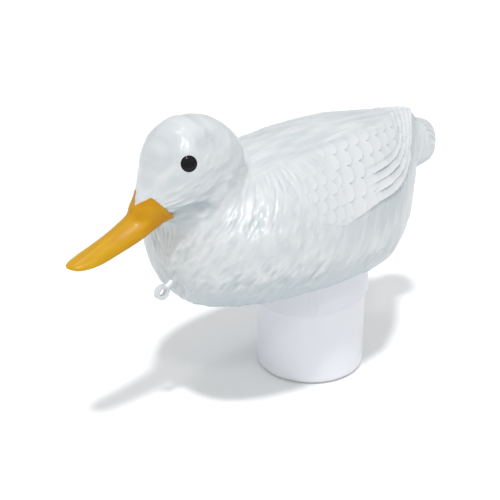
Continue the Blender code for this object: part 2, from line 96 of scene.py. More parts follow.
# The same along Z for the neck: (height, centre along Y, half width, half length)
NECK = ((118, -100, 28, 34), (150, -104, 36, 40), (175, -110, 37, 40), (198, -118, 34, 37),
        (215, -122, 28, 32))
HEAD_UPPER, BILL_UPPER = 0.88, 1.45      # upper halves: below 1 boxier, above 1 more pointed

# Back edge of the bill: where it starts, its slope, and the notch for the forehead's feathers
BILL_GAPE = (0.0, -155.5 * MM, 184.0 * MM)
BILL_EDGE_SLOPE = 0.84
BILL_NOTCH_HALF, BILL_NOTCH_DEPTH = 10.0 * MM, 11.0 * MM
BILL_CUT_HALF, BILL_CUT_REACH, BILL_CUT_ENDS = 60 * MM, 120 * MM, (1 * MM, 90 * MM)
BILL_GAP = 0.2 * MM

EYE_RADIUS = 6.0 * MM
EYE_PLACE = (90.0 * MM, -147.7 * MM, 227.5 * MM)      # beside the head, level with the left eye
EYE_PROUD, EYE_EDGE_DROP, EYE_DEPTH = 1.1 * MM, 0.6 * MM, 1.6 * MM
EYE_RAYS, EYE_STEPS, EYE_SIDES = 12, 16, 64
SOCKET_GAP, SOCKET_BACK_GAP, SOCKET_MOUTH = 0.15 * MM, 0.2 * MM, 5 * MM

CUP_RADIUS, CUP_BORE = 46.0 * MM, 43.5 * MM
CUP_EDGE, CUP_EDGE_STEPS, CUP_FLOOR, CUP_FLOOR_STEPS = 7.0 * MM, 14, 3.0 * MM, 8
CUP_LIP = 0.6 * MM
GROOVE_RADIUS, GROOVE_HALF, GROOVE_EDGE = 44.75 * MM, 1.0 * MM, 0.3 * MM
COLLAR_BORE, COLLAR_RADIUS = 46.9 * MM, 48.0 * MM
COLLAR_EDGE_HEIGHT, COLLAR_EDGE_SLOPE = 69.3 * MM, 0.105
COLLAR_BEAD = ((COLLAR_BORE, 0), (COLLAR_RADIUS - 0.3 * MM, 0),
               (COLLAR_RADIUS + 0.15 * MM, 0.3 * MM), (COLLAR_RADIUS + 0.3 * MM, 0.9 * MM),
               (COLLAR_RADIUS + 0.15 * MM, 1.5 * MM), (COLLAR_RADIUS, 2.0 * MM))
COLLAR_ROOF, COLLAR_ROOF_HOLE, COLLAR_TOP_EDGE = 2.7 * MM, 13.0 * MM, 0.4 * MM
COLLAR_RIBS = (-36, -44, -136, -144)                  # moulded ribs, degrees round the collar
RIB_RADIUS, RIB_SINK, RIB_SIDES = 0.38 * MM, 0.1 * MM, 10
RIB_LOW, RIB_TOP = 1.5 * MM, 2.0 * MM                 # clear of the collar's two edges
BELLY_GAP = 0.3 * MM
WINDOW_ANGLES, WINDOW_WIDTH = (66, 90, 114), 11.0 * MM
WINDOW_LOW, WINDOW_HIGH = 78.0 * MM, 86.5 * MM
WALL_CUT_PAST = 3.0 * MM
SCREWS, SCREW_START, SCREW_CIRCLE = 4, 45, 36.0 * MM
SCREW_HOLE, SCREW_HOLE_SIDES, SCREW_HOLE_ENDS = 2.0 * MM, 24, (-6 * MM, 2 * MM)
DRAIN_HOLES, DRAIN_RADIUS, DRAIN_CIRCLE = 6, 3.0 * MM, 26.0 * MM
ROUND_SIDES = 160

VOXEL = 1.6 * MM
BLEND_STEPS = 22
SUBDIVISIONS = 1
CUT_EDGE_ANGLE = 50
ON_AXIS = 1e-9


# ---------------------------------------------------------------- mesh helpers

def mesh_from(bm, name):
    """Mesh from a bmesh, with its faces turned outwards."""
    bmesh.ops.recalc_face_normals(bm, faces=bm.faces)
    mesh = bpy.data.meshes.new(name)
    bm.to_mesh(mesh)
    bm.free()
    return mesh


def add(name, mesh):
    """Object in the scene from a mesh."""
    obj = bpy.data.objects.new(name, mesh)
    bpy.context.scene.collection.objects.link(obj)
    return obj


def baked(obj):
    """Replace an object's mesh by what its modifiers make of it."""
    bpy.context.view_layer.update()
    graph = bpy.context.evaluated_depsgraph_get()
    mesh = bpy.data.meshes.new_from_object(obj.evaluated_get(graph))
    obj.modifiers.clear()
    obj.data = mesh
    return obj


def boolean(obj, other, operation="DIFFERENCE"):
    """Apply one Boolean with a closed mesh and remove the other object."""
    mod = obj.modifiers.new("cut", "BOOLEAN")
    mod.operation = operation
    mod.solver = "MANIFOLD"
    mod.object = other
    baked(obj)
    bpy.data.objects.remove(other, do_unlink=True)
    return obj


def hermite(rows, at):
    """Smooth monotone curves through rows whose first value runs along them."""
    rows = np.array(rows, float)
    if rows[0, 0] > rows[-1, 0]:
        rows = rows[::-1]
    knots = rows[:, 0]
    widths = np.diff(knots)[:, None]
    slopes = np.diff(rows, axis=0) / widths
    before, after = slopes[:-1], slopes[1:]
    same_way = before * after > 0
    total = np.where(same_way, before + after, 1.0)
    tangents = np.zeros_like(rows)
    tangents[0], tangents[-1] = slopes[0], slopes[-1]
    tangents[1:-1] = np.where(same_way, 2 * before * after / total, 0.0)
    at = np.clip(at, knots[0], knots[-1])
    i = np.clip(np.searchsorted(knots, at, side="right") - 1, 0, len(widths) - 1)
    u = ((at - knots[i]) / widths[i, 0])[:, None]
    return (rows[i] * (2 * u**3 - 3 * u**2 + 1) + rows[i + 1] * (3 * u**2 - 2 * u**3)
            + widths[i] * (tangents[i] * (u**3 - 2 * u**2 + u)
                           + tangents[i + 1] * (u**3 - u**2)))


def smooth_rows(rows, count):
    """Rows read from smooth curves through the given rows, closer together at both ends."""
    rows = np.array(rows, float)
    steps = np.linalg.norm(np.diff(rows, axis=0), axis=1)
    knots = np.concatenate([[0.0], np.cumsum(steps)]) / steps.sum()
    at = 0.5 - 0.5 * np.cos(np.pi * np.arange(count) / (count - 1))
    return hermite(np.column_stack([knots, rows]), at)[:, 1:]


def skin_rings(rings, name):
    """Closed mesh over a list of equal rings of points; the two ends are capped."""
    bm = bmesh.new()
    loops = [[bm.verts.new(point) for point in ring] for ring in rings]
    for low, high in zip(loops, loops[1:]):
        for i in range(len(low)):
            j = (i + 1) % len(low)
            bm.faces.new((low[i], low[j], high[j], high[i]))
    bm.faces.new(loops[0])
    bm.faces.new(loops[-1])
    return mesh_from(bm, name)


def signed_power(value, power):
    """A power that keeps its sign."""
    return math.copysign(abs(value) ** power, value)


def section_loft(rows, name, rings=60, sides=60, upper=1.0):
    """Loft along Y through rounded sections; upper shapes their upper halves."""
    points = []
    for y, top, bottom, half, middle in smooth_rows(rows, rings)[1:-1]:
        ring = []
        for side in range(sides):
            angle = 2 * math.pi * side / sides
            power = upper if side < sides / 2 else 1.0
            rise = signed_power(math.sin(angle), power)
            reach = (top - middle) if rise > 0 else (middle - bottom)
            ring.append((half * signed_power(math.cos(angle), power) * MM, y * MM,
                         (middle + reach * rise) * MM))
        points.append(ring)
    return skin_rings(points, name)


def neck_loft(rows, sides=48):
    """Loft of the neck, upwards through elliptic sections."""
    points = []
    for height, centre, half_x, half_y in rows:
        ring = []
        for side in range(sides):
            angle = 2 * math.pi * side / sides
            ring.append((half_x * math.cos(angle) * MM, (centre + half_y * math.sin(angle)) * MM,
                         height * MM))
        points.append(ring)
    return skin_rings(points, name="neck")


def rod(radius, start, end, sides=48):
    """Cylinder between two points in any direction."""
    start, end = Vector(start), Vector(end)
    bm = bmesh.new()
    turn = (end - start).to_track_quat("Z", "Y").to_matrix().to_4x4()
    move = Matrix.Translation((start + end) / 2) @ turn
    bmesh.ops.create_cone(bm, cap_ends=True, segments=sides, radius1=radius, radius2=radius,
                          depth=(end - start).length, matrix=move)
    return add("rod", mesh_from(bm, "rod"))


def turned(name, profile, sides=ROUND_SIDES, lift=None):
    """Solid of revolution about Z from a closed outline of (radius, height) points.

    lift(index, y) is added to the height of the outline's point with that index.
    """
    bm = bmesh.new()
    rings = []
    for index, (radius, height) in enumerate(profile):
        if radius < ON_AXIS:
            rings.append([bm.verts.new((0, 0, height))])
            continue
        ring = []
        for side in range(sides):
            angle = 2 * math.pi * (side + 0.5) / sides
            x, y = radius * math.cos(angle), radius * math.sin(angle)
            ring.append(bm.verts.new((x, y, height + (lift(index, y) if lift else 0))))
        rings.append(ring)
    for low, high in zip(rings, rings[1:] + rings[:1]):
        if len(low) == 1 and len(high) == 1:
            continue
        for i in range(sides):
            j = (i + 1) % sides
            corners = []
            for vert in (low[i % len(low)], low[j % len(low)],
                         high[j % len(high)], high[i % len(high)]):
                if vert not in corners:
                    corners.append(vert)
            bm.faces.new(corners)
    return add(name, mesh_from(bm, name))


def window_cutters(inner, outer):
    """Radial blocks that cut the flow windows through a wall between two radii."""
    inner, outer = inner - WALL_CUT_PAST, outer + WALL_CUT_PAST
    cutters = []
    for degrees in WINDOW_ANGLES:
        bm = bmesh.new()
        size = Matrix.Diagonal((outer - inner, WINDOW_WIDTH, WINDOW_HIGH - WINDOW_LOW, 1))
        place = Matrix.Translation(((outer + inner) / 2, 0, (WINDOW_HIGH + WINDOW_LOW) / 2))
        turn = Matrix.Rotation(math.radians(degrees), 4, "Z")
        bmesh.ops.create_cube(bm, size=1.0, matrix=turn @ place @ size)
        cutters.append(add("window", mesh_from(bm, "window")))
    return cutters


def finish_smooth(obj, angle=35):
    """Smooth shading up to an edge angle."""
    obj.data.shade_smooth()
    obj.data.set_sharp_from_angle(angle=math.radians(angle))
    return obj


# ---------------------------------------------------------------- feather relief, millimetres

# Lower and rear edge of the folded wing: (place along Y, angle round the body in degrees)
WING_EDGE = ((-95, 40), (-75, 31), (-60, 25), (-47, 21), (-35, 18.5), (-16, 21), (6, 24), (27, 25),
             (50, 25.5), (71, 30), (87, 39), (97, 51), (104, 64), (109, 77), (112, 92))
ANGLE_TO_MM = 1.25                  # length of a degree round the body
WING_STEP_HALF = 0.6                # half the width of the step at the wing's edge
WING_RISE, WING_RISE_RUN = 1.0, 30
FLANK_DROP, FLANK_DROP_RUN = 1.2, 26
FLIGHT_FEATHER, FLIGHT_RISE = 6.5, 1.7      # showing width of a flight feather, and its step
FLIGHT_DEPTH, FLIGHT_DEPTH_GROWTH = 25, 6   # how far the flight feathers reach from the edge
TIP_COUNT, TIP_SHIFT, TIP_RISE = 9.0, 0.45, 0.8
LARGE_COVERTS = (1.7, 11.5, 14)     # rise, length, width
SMALL_COVERTS = (1.1, 8.5, 11)
COVERT_LEAN = (0.88, 0.48)          # cosine and sine of the rows' slant
SCALE_TIP, SCALE_CURVE, SCALE_RUN, SCALE_DOME = 0.55, 0.92, 2.0, 0.12
SCALE_ROWS = 4
# Strokes: rise, length, width, seed
BACK_STROKES = (0.85, 22, 4.2, 3)
FLANK_STROKES = (0.85, 15, 4.2, 5)
BREAST_STROKES = (0.95, 10, 4.4, 7)
HEAD_STROKES = (0.75, 9, 3.4, 11)
FLANK_LEAN = (0.55, 0.004)          # how the flank's strokes lean and curve backwards
BREAST_LEAN = (0.8, 0.75)
BREAST_RADIUS, BREAST_CENTRE = 78, -70
PATCH_SIZE, PATCH_SEED, PATCH_LOW, PATCH_SPAN = 22, 21, 0.45, 1.1
HEAD_CENTRE, HEAD_RADII, HEAD_FADE = (0, -130, 214), (36, 52, 42), (1.25, 1.0)
BILL_ROOT, SWEEP_TO_MM = (-183, 186), 0.9   # where the head's strokes start, in Y and Z
EYE_HOLLOW = ((27, -141, 234), (25, -133, 239), (24, -123, 240), (24, -113, 237))
HOLLOW_DEPTH, HOLLOW_WIDTH, HOLLOW_FADE = 0.35, 6.5, (1.0, 0.6)
CHEEK_CREASE = ((15, -158, 185), (22.8, -154, 189), (26.6, -150, 191), (28.5, -143, 191.5),
                (30, -136, 190.5), (32, -129, 188), (34, -121, 185))
CREASE_DEPTH, CREASE_WIDTH, CREASE_FADE = 3.2, 3.4, (1.0, 0.55)
TAIL_RIB, TAIL_RIB_PITCH = 0.45, 3.2
SKIN_INSET = 0.5                    # keeps the highest feathers inside the plain shell
# Places along Y where each kind of feather fades in: (none, full)
ALONG = {"wing": (-85, -45), "wing step": (-60, 30), "flight": (-5, 22), "deep flight": (60, 95),
         "flight tips": (92, 78), "large coverts": (-32, -20), "small coverts": (-80, -45),
         "flank": (-70, -10), "tail": (117, 120)}
# The same for angles round the body, and for heights on the tail
ROUND = {"coverts": (74, 60), "small coverts": (60, 45), "back": (58, 72)}
TAIL_TOP, TAIL_RIBS_LOW = (203, 199), (172, 176)


def fade(band, value):
    """0 on one side of a band (none, full), 1 on the other."""
    return smoothstep(*band, value)


def smoothstep(low, high, value):
    """0 below low, 1 above high, smooth between."""
    t = np.clip((value - low) / (high - low), 0, 1)
    return t * t * (3 - 2 * t)


def value_noise(u, v, seed):
    """Smooth noise from 0 to 1 over two coordinates."""
    size = 256
    grid = np.random.default_rng(seed).random((size, size))
    iu, iv = np.floor(u).astype(int), np.floor(v).astype(int)
    fu, fv = u - iu, v - iv
    fu, fv = fu * fu * (3 - 2 * fu), fv * fv * (3 - 2 * fv)
    a = grid[iu % size, iv % size]
    b = grid[(iu + 1) % size, iv % size]
    c = grid[iu % size, (iv + 1) % size]
    d = grid[(iu + 1) % size, (iv + 1) % size]
    return (a * (1 - fu) + b * fu) * (1 - fv) + (c * (1 - fu) + d * fu) * fv


def strokes(along, across, kind):
    """Two layers of long streaks of one kind, about -1 to 1 times their rise."""
    rise, length, width, seed = kind
    first = value_noise(along / length, across / width, seed)
    second = value_noise(along / (0.6 * length) + 31.7, across / (0.55 * width) + 9.1, seed + 1)
    return rise * (1.3 * (first - 0.5) + 0.7 * (second - 0.5))


def scales(along, across, kind):
    """Overlapping round-ended feathers pointing along +along, up and down by half their rise."""
    rise, length, width = kind
    first_row = np.floor(along / length).astype(int)
    height = np.zeros_like(along)
    done = np.zeros(along.shape, bool)
    for step in range(SCALE_ROWS):
        row = first_row + step
        offset = np.where(row % 2 == 0, 0.0, 0.5)
        off_centre = across / width - offset
        off_centre = 2 * (off_centre - np.round(off_centre))
        tip = SCALE_TIP * width * (1 - np.sqrt(1 - SCALE_CURVE * off_centre**2))
        edge = (row + 1) * length - tip
        behind = edge - along
        hit = (behind >= 0) & ~done
        dome = SCALE_DOME * off_centre**2
        height = np.where(hit, 1.0 - behind / (SCALE_RUN * length) - dome, height)
        done |= hit
    return rise * (height - 0.5)


def body_angle(x, y, z):
    """Angle round the body's section, in degrees: 0 at the widest point, 90 on the back."""
    _, top, bottom, half, middle = hermite(BODY, y).T
    rise = np.where(z > middle, (z - middle) / np.maximum(top - middle, 1),
                    (z - middle) / np.maximum(middle - bottom, 1))
    return np.degrees(np.arctan2(rise, np.abs(x) / np.maximum(half, 1)))


def distance_to_line(points, line):
    """Distance from points to a polyline, and how far along it from 0 to 1 the nearest spot is."""
    best = np.full(len(points), np.inf)
    along = np.zeros(len(points))
    line = np.array(line, float)
    for i, (start, end) in enumerate(zip(line, line[1:])):
        t = np.clip(((points - start) @ (end - start)) / ((end - start) @ (end - start)), 0, 1)
        gap = np.linalg.norm(points - start - t[:, None] * (end - start), axis=1)
        along = np.where(gap < best, (i + t) / (len(line) - 1), along)
        best = np.minimum(best, gap)
    return best, along


def groove(points, line, depth, width, ends):
    """Rounded groove along a line on both sides of the duck, fading out towards its end."""
    x, y, z = points
    gap, along = distance_to_line(np.column_stack([np.abs(x), y, z]), line)
    return depth * np.exp(-(gap / width)**2) * fade(ends, along)


def feather_relief(points):
    """How far each point of the duck's skin moves along its normal, in millimetres."""
    x, y, z = points.T / MM
    angle = body_angle(x, y, z)
    around = angle * ANGLE_TO_MM
    edge_line = np.array(WING_EDGE, float) * (1, ANGLE_TO_MM)
    from_edge, edge_place = distance_to_line(np.column_stack([y, around]), edge_line)
    inside = angle > hermite(WING_EDGE, y)[:, 1]
    from_edge = np.where(inside & (y < WING_EDGE[-1][0]), from_edge, -from_edge)

    reach = sum(((value - centre) / radius)**2
                for value, centre, radius in zip((x, y, z), HEAD_CENTRE, HEAD_RADII))
    head = fade(HEAD_FADE, reach)
    tail = fade(ALONG["tail"], y) * fade(TAIL_TOP, z)
    body = (1 - head) * (1 - tail)

    # the folded wing stands proud of the flank below it
    wing = smoothstep(-WING_STEP_HALF, WING_STEP_HALF, from_edge) * fade(ALONG["wing"], y)
    move = body * fade(ALONG["wing step"], y) * (
        WING_RISE * wing * smoothstep(WING_RISE_RUN, 1, from_edge)
        - FLANK_DROP * (1 - wing) * smoothstep(-FLANK_DROP_RUN, -1, from_edge))

    # long flight feathers nested along the wing's lower and rear edge, with staggered tips
    flight = wing * fade(ALONG["flight"], y)
    depth = FLIGHT_DEPTH + FLIGHT_DEPTH_GROWTH * fade(ALONG["deep flight"], y)
    flight *= smoothstep(depth + 1, depth - 1, from_edge)
    lane = from_edge / FLIGHT_FEATHER
    step = np.floor(lane)
    tip = edge_place * TIP_COUNT + TIP_SHIFT * step
    move += body * flight * (FLIGHT_RISE * (0.5 - (lane - step))
                             + TIP_RISE * (tip - np.floor(tip) - 0.5)
                             * fade(ALONG["flight tips"], y))
    # rounded coverts in rows above them, smaller towards the shoulder
    cos, sin = COVERT_LEAN
    slanted = (cos * y - sin * around, sin * y + cos * around)
    covert = wing * (1 - flight) * fade(ROUND["coverts"], angle)
    large = fade(ALONG["large coverts"], y)
    move += body * covert * large * scales(*slanted, LARGE_COVERTS)
    small = (1 - large) * fade(ALONG["small coverts"], y) * fade(ROUND["small coverts"], angle)
    move += body * covert * small * scales(*slanted, SMALL_COVERTS)

    # streaks along the back, down the flanks and over the breast
    back = fade(ROUND["back"], angle)
    move += body * back * strokes(y, around, BACK_STROKES)
    flank = (1 - wing) * fade(ALONG["flank"], y)
    lean = y - FLANK_LEAN[0] * around - FLANK_LEAN[1] * around**2
    patch = PATCH_LOW + PATCH_SPAN * value_noise(y / PATCH_SIZE, around / PATCH_SIZE, PATCH_SEED)
    move += body * flank * patch * strokes(around, lean, FLANK_STROKES)
    across = BREAST_RADIUS * np.arctan2(np.abs(x), BREAST_CENTRE - y)
    rest = np.clip(1 - flank - back - covert * (large + small) - flight, 0, 1)
    move += body * rest * patch * strokes(z + BREAST_LEAN[0] * across,
                                          across - BREAST_LEAN[1] * z, BREAST_STROKES)

    # head: fine strokes sweeping back from the bill
    ahead, above = y - BILL_ROOT[0], z - BILL_ROOT[1]
    turn = np.degrees(np.arctan2(above, ahead)) * SWEEP_TO_MM
    move += head * strokes(np.hypot(ahead, above), turn, HEAD_STROKES)
    # a hollow above and behind the eye, and the crease where the cheek overhangs the breast
    move -= groove((x, y, z), EYE_HOLLOW, HOLLOW_DEPTH, HOLLOW_WIDTH, HOLLOW_FADE)
    move -= groove((x, y, z), CHEEK_CREASE, CREASE_DEPTH, CREASE_WIDTH, CREASE_FADE)
    # ribs of the tail fan
    move += tail * TAIL_RIB * np.cos(2 * np.pi * x / TAIL_RIB_PITCH) * fade(TAIL_RIBS_LOW, z)
    return move - SKIN_INSET


def duck_form():
    """Body, neck, head, tail and bill in one smooth closed surface."""
    meshes = [section_loft(BODY, "body", 80, 96), neck_loft(NECK),
              section_loft(HEAD, "head", upper=HEAD_UPPER),
              section_loft(TAIL, "tail", 40, 48),
              section_loft(BILL, "bill", 50, 40, upper=BILL_UPPER)]
    bm = bmesh.new()
    for mesh in meshes:
        bm.from_mesh(mesh)
        bpy.data.meshes.remove(mesh)
    form = add("form", mesh_from(bm, "form"))
    remesh = form.modifiers.new("one_skin", "REMESH")
    remesh.mode = "VOXEL"
    remesh.voxel_size = VOXEL
    soften = form.modifiers.new("soften", "SMOOTH")
    soften.factor = 0.5
    soften.iterations = BLEND_STEPS
    finer = form.modifiers.new("finer", "SUBSURF")
    finer.levels = finer.render_levels = SUBDIVISIONS
    return baked(form)


def vertex_arrays(mesh):
    """Vertex places and normals of a mesh."""
    count = len(mesh.vertices)
    places = np.empty(count * 3)
    mesh.vertices.foreach_get("co", places)
    normals = np.empty(count * 3)
    mesh.vertex_normals.foreach_get("vector", normals)
    return places.reshape(-1, 3), normals.reshape(-1, 3)


def carve_feathers(form):
    """Move the skin's points by the feather relief, and keep the relief for the material."""
    mesh = form.data
    places, normals = vertex_arrays(mesh)
    relief = feather_relief(places)
    places += normals * relief[:, None] * MM
    mesh.vertices.foreach_set("co", places.ravel())
    layer = mesh.attributes.new("relief", "FLOAT", "POINT")
    layer.data.foreach_set("value", relief.astype(np.float32))
    mesh.update()


def bill_cutter(shift=0.0):
    """Prism in front of the bill's back edge, notched where feathers run along the culmen."""
    gape = Vector(BILL_GAPE)
    rise = Vector((0, -BILL_EDGE_SLOPE, 1)).normalized()
    ahead = Vector((0, -1, -BILL_EDGE_SLOPE)).normalized()
    outline = [(-BILL_CUT_HALF, 0), (-BILL_NOTCH_HALF, 0), (0, BILL_NOTCH_DEPTH),
               (BILL_NOTCH_HALF, 0), (BILL_CUT_HALF, 0), (BILL_CUT_HALF, BILL_CUT_REACH),
               (-BILL_CUT_HALF, BILL_CUT_REACH)]
    rings = []
    for end in BILL_CUT_ENDS:
        base = gape + rise * end + Vector((0, shift, 0))
        rings.append([base + Vector((x, 0, 0)) + ahead * depth for x, depth in outline])
    return add("bill_cutter", skin_rings(rings, "bill_cutter"))


def make_duck():
    """Feathered skin in place of the plain shell, the smooth bill and the two eyes."""
    form = duck_form()
    bill = add("bill_moulding", form.data.copy())
    carve_feathers(form)
    boolean(bill, bill_cutter(shift=-BILL_GAP), "INTERSECT")
    boolean(form, bill_cutter())
    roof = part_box("collar_gasket")[1].z + BELLY_GAP
    boolean(form, rod(COLLAR_RADIUS + BELLY_GAP, (0, 0, 0), (0, 0, roof), ROUND_SIDES))
    bpy.context.view_layer.update()
    tree = BVHTree.FromObject(form, bpy.context.evaluated_depsgraph_get())
    eyes = []
    for side, name in ((1, "left_eye"), (-1, "right_eye")):
        start = Vector((side * EYE_PLACE[0], EYE_PLACE[1], EYE_PLACE[2]))
        rim = []
        for ray in range(EYE_RAYS):
            angle = 2 * math.pi * ray / EYE_RAYS
            offset = Vector((0, EYE_RADIUS * math.cos(angle), EYE_RADIUS * math.sin(angle)))
            rim.append(tree.ray_cast(start + offset, Vector((-side, 0, 0)))[0])
        place = sum(rim, Vector()) / len(rim)
        normal = Vector()
        quarter = EYE_RAYS // 4
        for first, second in zip(rim, rim[quarter:] + rim[:quarter]):
            normal += side * (first - place).cross(second - place)
        eyes.append((name, place, normal.normalized()))
    for name, place, normal in eyes:
        boolean(form, rod(EYE_RADIUS + SOCKET_GAP, place + normal * SOCKET_MOUTH,
                          place - normal * (EYE_DEPTH + SOCKET_BACK_GAP)))
    form.name = "duck_skin"
    for obj in (form, bill):
        finish_smooth(obj, CUT_EDGE_ANGLE)
    return form, bill, [make_eye(*eye) for eye in eyes]


def make_eye(name, place, normal):
    """Polished dome that sits in its socket."""
    profile = [(0, EYE_PROUD)]
    for step in range(1, EYE_STEPS + 1):
        angle = math.pi / 2 * step / EYE_STEPS
        profile.append((EYE_RADIUS * math.sin(angle),
                        (EYE_PROUD + EYE_EDGE_DROP) * math.cos(angle) - EYE_EDGE_DROP))
    profile += [(EYE_RADIUS, -EYE_DEPTH), (0, -EYE_DEPTH)]
    eye = turned(name + "_dome", profile, EYE_SIDES)
    eye.rotation_mode = "QUATERNION"
    eye.rotation_quaternion = normal.to_track_quat("Z", "Y")
    eye.location = place
    return finish_smooth(eye)


def make_cup():
    """Tablet cup with rounded edges, ring groove, windows and drain holes."""
    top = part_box("tablet_cup")[1].z
    ring_low, ring_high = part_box("friction_ring")
    ring = (ring_low.z + ring_high.z) / 2
    low, high = ring - GROOVE_HALF, ring + GROOVE_HALF
    profile = [(0, 0)]
    for step in range(CUP_EDGE_STEPS + 1):
        angle = math.pi / 2 * step / CUP_EDGE_STEPS
        profile.append((CUP_RADIUS - CUP_EDGE * (1 - math.sin(angle)),
                        CUP_EDGE * (1 - math.cos(angle))))
    profile += [(CUP_RADIUS, low - GROOVE_EDGE), (CUP_RADIUS - GROOVE_EDGE, low),
                (GROOVE_RADIUS, low), (GROOVE_RADIUS, high), (CUP_RADIUS - GROOVE_EDGE, high),
                (CUP_RADIUS, high + GROOVE_EDGE), (CUP_RADIUS, top - CUP_LIP),
                (CUP_RADIUS - CUP_LIP / 3, top - CUP_LIP / 3), (CUP_RADIUS - CUP_LIP, top),
                (CUP_BORE + CUP_LIP, top), (CUP_BORE, top - CUP_LIP)]
    inner = CUP_EDGE - (CUP_RADIUS - CUP_BORE)
    for step in range(CUP_FLOOR_STEPS + 1):
        angle = math.pi / 2 * step / CUP_FLOOR_STEPS
        profile.append((CUP_BORE - inner * (1 - math.cos(angle)),
                        CUP_FLOOR + inner * (1 - math.sin(angle))))
    profile.append((0, CUP_FLOOR))
    cup = turned("cup_moulding", profile)
    for cutter in window_cutters(CUP_BORE, CUP_RADIUS):
        boolean(cup, cutter)
    for hole in range(DRAIN_HOLES):
        angle = 2 * math.pi * (hole + 0.5) / DRAIN_HOLES
        x, y = DRAIN_CIRCLE * math.cos(angle), DRAIN_CIRCLE * math.sin(angle)
        boolean(cup, rod(DRAIN_RADIUS, (x, y, -MM), (x, y, CUP_FLOOR + MM)))
    return finish_smooth(cup)


def make_collar():
    """Collar with a beaded, slanted lower edge, moulded ribs, windows and screw holes."""
    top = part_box("collar")[1].z
    profile = [(radius, COLLAR_EDGE_HEIGHT + height) for radius, height in COLLAR_BEAD]
    profile += [(COLLAR_RADIUS, top - COLLAR_TOP_EDGE), (COLLAR_RADIUS - COLLAR_TOP_EDGE, top),
                (COLLAR_ROOF_HOLE, top), (COLLAR_ROOF_HOLE, top - COLLAR_ROOF),
                (COLLAR_BORE - MM, top - COLLAR_ROOF), (COLLAR_BORE, top - COLLAR_ROOF - MM)]
    collar = turned("collar_moulding", profile, lift=lambda index, y: (
        COLLAR_EDGE_SLOPE * y if index < len(COLLAR_BEAD) else 0))
    for cutter in window_cutters(COLLAR_BORE, COLLAR_RADIUS):
        boolean(collar, cutter)
    low, high = SCREW_HOLE_ENDS
    for number in range(SCREWS):
        angle = math.radians(SCREW_START + 360 * number / SCREWS)
        x, y = SCREW_CIRCLE * math.cos(angle), SCREW_CIRCLE * math.sin(angle)
        boolean(collar, rod(SCREW_HOLE, (x, y, top + low), (x, y, top + high), SCREW_HOLE_SIDES))
    for degrees in COLLAR_RIBS:
        angle = math.radians(degrees)
        radius = COLLAR_RADIUS - RIB_SINK
        x, y = radius * math.cos(angle), radius * math.sin(angle)
        edge = COLLAR_EDGE_HEIGHT + COLLAR_EDGE_SLOPE * y
        boolean(collar, rod(RIB_RADIUS, (x, y, edge + RIB_LOW), (x, y, top - RIB_TOP), RIB_SIDES),
                "UNION")
    return finish_smooth(collar)


# ---------------------------------------------------------------- materials

# Colours are linear. Ramps: (place from 0 to 1, colour). Grain: (scale, detail[, stretch]).
# Spans: (from low, from high, to low, to high).
# Painted shade: the shell's colour goes darker and cooler where the feather relief sinks, lighter
# where it stands proud.
SHELL_HOLLOW_SHADE = [(0.0, (0.50, 0.55, 0.565)), (0.5, (0.655, 0.675, 0.69)),
                 (1.0, (0.735, 0.75, 0.765))]
SHELL_RELIEF_SPAN = (-1.3, 1.0, 0, 1)
SHELL_PATCHES, SHELL_PATCH_SPAN, SHELL_PATCH = (14, 3), (0.35, 0.7, 0, 0.2), (0.58, 0.62, 0.635, 1)
# Painted shade: the colour is mixed darker and bluer on faces that turn downwards, under the body.
SHELL_UNDERSIDE_SHADE_SPAN, SHELL_UNDERSIDE_SHADE = (0.05, -0.75, 0, 0.85), (0.40, 0.475, 0.50, 1)
SHELL_SMEAR, SHELL_GRAIN, SHELL_BUMP = (60, 5, (1, 0.3, 1)), (420, 6, (1, 0.22, 1)), (0.22, 0.0006)
SHELL_IOR, SHELL_COAT, SHELL_COAT_ROUGHNESS = 1.48, 0.2, 0.14
GLOSS_SPAN = (0.3, 0.7, 0.26, 0.42)
SATIN_RAMP = [(0.3, (0.78, 0.795, 0.84)), (0.7, (0.82, 0.83, 0.87))]
SATIN_CLOUD, SATIN_GRAIN, SATIN_BUMP = (9, 3), (900, 3), (0.05, 0.0002)
SATIN_SPAN, SATIN_IOR = (0.3, 0.7, 0.3, 0.42), 1.47
BILL_RAMP = [(0.0, (0.57, 0.315, 0.009)), (0.5, (0.54, 0.27, 0.008)), (1.0, (0.50, 0.225, 0.007))]
BILL_ALONG, BILL_STREAKS, BILL_BUMP = (-0.235, -0.165, 0, 1), (120, 4, (1, 0.12, 1)), (0.15, 0.0005)
BILL_STREAK_SPAN, BILL_STREAK = (0.4, 0.75, 0, 0.35), (0.70, 0.45, 0.012, 1)
BILL_SPECULAR, BILL_COAT, BILL_COAT_ROUGHNESS = 0.14, 0.04, 0.15
EYE_RAMP = [(0.3, (0.004, 0.004, 0.005)), (0.8, (0.012, 0.011, 0.012))]
EYE_GRAIN, EYE_ROUGHNESS, EYE_SPECULAR = (300, 2), 0.1, 0.22
RUBBER_RAMP = [(0.3, (0.018, 0.018, 0.018)), (0.8, (0.05, 0.05, 0.05))]
RUBBER_GRAIN, RUBBER_BUMP, RUBBER_ROUGHNESS = (700, 4), (0.2, 0.0003), 0.75
STEEL_RAMP = [(0.3, (0.50, 0.51, 0.52)), (0.8, (0.68, 0.68, 0.67))]
STEEL_MARKS, STEEL_SPAN = (900, 3, (1, 1, 0.1)), (0.3, 0.7, 0.22, 0.4)


def new_material(name):
    """Node material with a Principled shader; returns material, tree and shader."""
    mat = bpy.data.materials.new(name)
    mat.use_nodes = True
    tree = mat.node_tree
    return mat, tree, tree.nodes["Principled BSDF"]


def noise_node(tree, scale, detail, stretch=(1, 1, 1)):
    """Noise over object coordinates, optionally stretched."""
    coords = tree.nodes.new("ShaderNodeTexCoord")
    mapping = tree.nodes.new("ShaderNodeMapping")
    mapping.inputs["Scale"].default_value = stretch
    noise = tree.nodes.new("ShaderNodeTexNoise")
    noise.inputs["Scale"].default_value = scale
    noise.inputs["Detail"].default_value = detail
    tree.links.new(coords.outputs["Object"], mapping.inputs["Vector"])
    tree.links.new(mapping.outputs["Vector"], noise.inputs["Vector"])
    return noise


